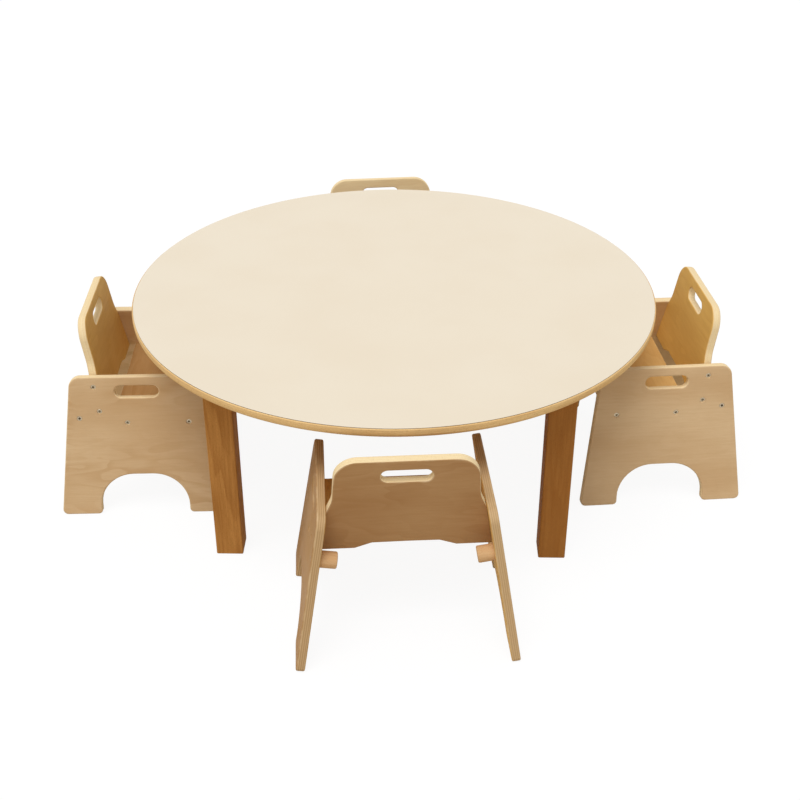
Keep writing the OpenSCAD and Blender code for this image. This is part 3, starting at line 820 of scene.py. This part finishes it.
def makeScrews(name, matrix):
    cross, pegs = bmesh.new(), bmesh.new()
    for hand in (1, -1):
        turned = Matrix.Scale(hand, 4, (1, 0, 0))
        for y, z in crossScrews:
            spot = Matrix.Translation((outerX(z) - screw["sink"], y, z)) @ Matrix.Rotation(-pi / 2, 4, "Y")
            addScrew(cross, turned @ spot, screw["length"])
        spot = Matrix.Translation((peg["fromRear"], peg["height"], screw["pegSink"]))
        addScrew(pegs, sideFrame(hand) @ spot, screw["pegLength"])
    makePiece(cross, name + "_screws_steel", matrix, name, zincSteel, "zinc_steel", name + "_screws")
    makePiece(pegs, name + "_peg_screws_steel", matrix, name, zincSteel, "zinc_steel", name + "_peg_screws")


# the shades of a board: its two faces (-1 is whitish, 0 pale, 1 golden, 2 brown), how dark its rim is and how
# strong its figure is; the first face is a side's outer one, a seat's lower one and a back's rear one.
# The face shades are painted light and shade: a face that gets less light is made golden or brown, a well-lit
# one whitish; the rim's darkness is ply tone and painted shade, while the figure is the wood's own
boardTonesAndPaintedShade = {
    "front_chair": {
        "sides": ((1.9, 1.35, 0.95, 0.3), (0.3, 0.9, 0.85, 0.3)),
        "seat": (0.3, 0.8, 0.2, 0.25),
        "back": (2.0, 1.2, 0.0, 0.25),
    },
    "left_chair": {
        "sides": ((0.2, 0.25, 0.0, 0.36), (0.15, 0.2, 0.0, 0.45)),
        "seat": (0.3, 1.85, 0.1, 0.4),
        "back": (0.3, 0.9, 0.05, 0.2),
    },
    "right_chair": {
        "sides": ((0.15, 0.2, 0.0, 0.12), (0.2, 0.3, 0.0, 0.1)),
        "seat": (0.3, 0.7, 0.1, 0.25),
        "back": (0.3, 1.0, 0.05, 0.2),
    },
    "back_chair": {
        "sides": ((0.2, 0.2, 0.1, 0.3), (0.15, 0.15, 0.1, 0.3)),
        "seat": (0.3, 0.3, 0.0, 0.3),
        "back": (0.2, -1.0, 0.0, 0.15),
    },
}
# where in the wood a piece is cut: for the first chair, a step for each next one, and a step for each hand
cuts = {
    "side": ((0, 0), (1.7, 0.61), (0.5, 0.23)),
    "peg": ((0, 0), (0.9, 0.4), (0.3, 0)),
    "seat": ((0.77, 2.1), (1.3, 0.37), (0, 0)),
    "back": ((3.1, 1.4), (0.83, 0.59), (0, 0)),
}


def cutSpot(piece, number, hand=0):
    return [first + step * number + swing * hand for first, step, swing in zip(*cuts[piece])]


for number, (name, shades) in enumerate(boardTonesAndPaintedShade.items()):
    stand = chairMatrix(name)
    for hand, shade in zip((1, -1), shades["sides"]):
        makeSide(name, hand, stand, cutSpot("side", number, hand), shade)
        makePeg(name, hand, stand, cutSpot("peg", number, hand))
    makeSeat(name, stand, cutSpot("seat", number), shades["seat"])
    makeBack(name, stand, cutSpot("back", number), shades["back"])
    makeScrews(name, stand)
    print(name, "made")


# table

top = {
    "diameter": 0.982, "height": 0.389, "thickness": 0.018, "laminate": 0.0008, "laminateIn": 0.0022,
    "laminateEase": 0.0002, "laminateSteps": 2, "lipping": 0.010, "lowRound": 0.009, "lowSteps": 10,
    "highRound": 0.002, "highSteps": 5, "sides": 240,
    "coreCut": (0.31, 0.17), "coreShades": (0.4, 0.0, 0.3),
}
leg = {
    "at": 0.29653, "width": 0.049, "height": 0.368, "round": 0.0025, "roundSteps": 5, "footEase": 0.0015,
    "footEaseSteps": 2, "arris": 0.0015, "cutStep": (0.7, 0.31),
}
rimR = top["diameter"] / 2
boardR = rimR - top["lipping"]
boardHigh = top["height"] - top["laminate"]


def coreMarks(tree):
    # the core board lies level, so its spots come from its own coordinates, and it has no eased arris
    corner = (*top["coreCut"], top["thickness"] - top["height"])
    place = put(tree, "Mapping", Vector=put(tree, "TexCoord").outputs["Object"], Location=corner).outputs[0]
    return [place, 0.0, *top["coreShades"]]


def makeLipping():
    # a bent strip of beech, spun round the board
    bm = bmesh.new()
    low = top["height"] - top["thickness"]
    corners = ((boardR, 0, low), (rimR, 0, low), (rimR, 0, boardHigh), (boardR, 0, boardHigh))
    profile = [bm.verts.new(corner) for corner in corners]
    bm.faces.new(profile)
    ease(bm, [profile[1]], top["lowRound"], top["lowSteps"], "VERTICES")
    ease(bm, [profile[2]], top["highRound"], top["highSteps"], "VERTICES")
    bmesh.ops.delete(bm, geom=bm.faces[:], context="FACES_ONLY")
    turnRound(bm, top["sides"])
    place = bm.loops.layers.float_vector.new("place")
    bm.verts.layers.float.new("arris")  # no edge of the lipping is rubbed
    for face in bm.faces:
        middle = face.calc_center_median()
        turn = atan2(middle.x, -middle.y)
        for loop in face.loops:
            at = atan2(loop.vert.co.x, -loop.vert.co.y)
            at += round((turn - at) / (2 * pi)) * 2 * pi
            loop[place] = (at * rimR, loop.vert.co.z, loop.vert.co.xy.length)
    sharpen(bm)
    wood = beech["beech_lipping"]
    makePiece(bm, "rim_lipping", Matrix.Identity(4), "table", wood, "beech_lipping", "edge_lipping")


def makeLaminateSheet():
    bm = bmesh.new()
    bmesh.ops.create_circle(bm, cap_ends=True, radius=rimR - top["laminateIn"], segments=top["sides"],
                            matrix=Matrix.Translation((0, 0, boardHigh)))
    thicken(bm, top["laminate"])
    upper = [e for e in bm.edges if min(v.co.z for v in e.verts) > top["height"] - tiny]
    ease(bm, upper, top["laminateEase"], top["laminateSteps"])
    arris = bm.verts.layers.float.new("arris")
    for v in bm.verts:
        v[arris] = 1.0 if v.co.z < top["height"] - tiny else 0.0
    sharpen(bm)
    makePiece(bm, "laminate_sheet", Matrix.Identity(4), "table", laminateSheet, "laminate", "laminate")


def makeLeg(name, x, y, number, shade):
    # a square post with eased edges and foot
    bm = bmesh.new()
    half = leg["width"] / 2
    middle = Matrix.Translation((x * leg["at"], y * leg["at"], leg["height"] / 2))
    size = Matrix.Diagonal((leg["width"], leg["width"], leg["height"], 1))
    bmesh.ops.create_cube(bm, size=1.0, matrix=middle @ size)
    upright = [e for e in bm.edges if abs(e.verts[0].co.z - e.verts[1].co.z) > half]
    ease(bm, upright, leg["round"], leg["roundSteps"])
    foot = [e for e in bm.edges if max(v.co.z for v in e.verts) < tiny]
    ease(bm, foot, leg["footEase"], leg["footEaseSteps"])
    place = bm.verts.layers.float_vector.new("place")
    arris = bm.verts.layers.float.new("arris")
    toneAndPaintedShade = bm.verts.layers.float.new("toneAndPaintedShade")
    along, beside = (step * number for step in leg["cutStep"])
    for v in bm.verts:
        across, deep = v.co.x - x * leg["at"], v.co.y - y * leg["at"]
        v[toneAndPaintedShade] = shade
        v[place] = (v.co.z + along, across + beside, deep + heart)
        v[arris] = 1.0 if half - leg["arris"] < min(abs(across), abs(deep)) else 0.0
    sharpen(bm)
    makePiece(bm, name + "_post", Matrix.Identity(4), "table", beech["beech_leg"], "beech_leg", name)


laminateSheet = makeLaminate()
coreBirch = makeBirchPly("birch_ply_top", top["thickness"] - top["laminate"], coreMarks)
print("table materials made")
# which way each leg stands from the middle, and its painted shade from light (0) to dark (1): a leg that gets
# less light is darker
legs = {
    "leg_front_left": (-1, -1, 0.05), "leg_front_right": (1, -1, 0.9),
    "leg_back_left": (-1, 1, 0.4), "leg_back_right": (1, 1, 0.3),
}
makeLipping()
makeLaminateSheet()
for number, (name, (x, y, shade)) in enumerate(legs.items()):
    makeLeg(name, x, y, number, shade)
# these keep the CAD's own mesh
unseen = {"core_board": coreBirch, "leg_plates": zincSteel, "leg_bolts": zincSteel, "plate_screws": zincSteel}
for name, material in unseen.items():
    slots = nodes[name].data.materials
    slots.clear()
    slots.append(material)
print("table made")


# floor, light and camera

light = {
    "sky": 0.55, "sun": 1.6, "sunWidth": radians(35), "sunFrom": (-0.15, -0.30, 0.94),
    "front": 8.0, "frontSize": 2.2, "frontFrom": (-0.6, -3.6, 2.2), "frontAim": (0, 0, 0.2),
}
studio = {
    "drop": 0.0005, "size": 30, "bounce": (0.62, 0.57, 0.48, 1), "faint": (0.09, 0.09, 0.09, 1), "glow": 0.92,
}
white = (1, 1, 1, 1)


def seenByCamera(tree):
    # 1 for what the camera sees, itself, in a shine or through glass
    path = put(tree, "LightPath").outputs
    direct = maths(tree, "MAXIMUM", path["Is Camera Ray"], path["Is Glossy Ray"])
    return maths(tree, "MAXIMUM", direct, path["Is Transmission Ray"])


def makeFloor():
    # white to the camera, while what it gives back to the furniture is warm
    bm = bmesh.new()
    spot = Matrix.Translation((0, 0, -studio["drop"]))
    bmesh.ops.create_grid(bm, x_segments=1, y_segments=1, size=studio["size"], matrix=spot)
    mesh = bpy.data.meshes.new("studioFloor")
    bm.to_mesh(mesh)
    bm.free()
    floor = bpy.data.objects.new("studioFloor", mesh)
    scene.collection.objects.link(floor)
    look = {"Base Color": studio["bounce"], "Roughness": 1.0, "Specular IOR Level": 0.0}
    made, tree, shader = newMaterial("studioFloor", look)
    faint = put(tree, "BsdfDiffuse", Color=studio["faint"])
    glow = put(tree, "Emission", Color=white, Strength=studio["glow"])
    both = put(tree, "AddShader", i0=faint.outputs[0], i1=glow.outputs[0])
    choice = put(tree, "MixShader", i0=seenByCamera(tree), i1=shader.outputs[0], i2=both.outputs[0])
    tree.links.new(choice.outputs[0], tree.nodes["Material Output"].inputs["Surface"])
    mesh.materials.append(made)


def makeWorld():
    world = bpy.data.worlds.new("studioSky")
    scene.world = world
    world.use_nodes = True
    tree = world.node_tree
    sky = tree.nodes["Background"]
    sky.inputs["Color"].default_value = white
    sky.inputs["Strength"].default_value = light["sky"]
    backdrop = put(tree, "Background", Color=white, Strength=1.0)
    choice = put(tree, "MixShader", i0=seenByCamera(tree), i1=sky.outputs[0], i2=backdrop.outputs[0])
    tree.links.new(choice.outputs[0], tree.nodes["World Output"].inputs["Surface"])


def placeThing(name, data, matrix):
    holder = bpy.data.objects.new(name, data)
    holder.matrix_world = matrix
    scene.collection.objects.link(holder)
    return holder


def makeSun():
    lamp = bpy.data.lights.new("keySun", "SUN")
    lamp.angle = light["sunWidth"]
    lamp.energy = light["sun"]
    placeThing("keySun", lamp, Vector(light["sunFrom"]).to_track_quat("Z", "Y").to_matrix().to_4x4())


def makeFrontLamp():
    lamp = bpy.data.lights.new("frontLamp", "AREA")
    lamp.shape = "SQUARE"
    lamp.size = light["frontSize"]
    lamp.energy = light["front"]
    towards = Vector(light["frontAim"]) - Vector(light["frontFrom"])
    turn = towards.to_track_quat("-Z", "Y").to_matrix().to_4x4()
    placeThing("frontLamp", lamp, Matrix.Translation(light["frontFrom"]) @ turn)


makeFloor()
makeWorld()
makeSun()
makeFrontLamp()

view = {
    "place": (0.0525, -2.1658, 1.4791), "down": radians(31.670), "turn": 0.0190, "roll": 0.0009,
    "lens": 57.221, "sensor": 36, "shift": -0.0014,
}
camera = bpy.data.cameras.new("studioCamera")
camera.lens = view["lens"]
camera.sensor_width = view["sensor"]
camera.shift_y = view["shift"]
tilt = Matrix.Rotation(pi / 2 - view["down"], 4, "X") @ Matrix.Rotation(view["roll"], 4, "Z")
tripod = Matrix.Translation(view["place"]) @ Matrix.Rotation(view["turn"], 4, "Z")
scene.camera = placeThing("studioCamera", camera, tripod @ tilt)
scene.view_settings.view_transform = "Standard"
print("studio made")
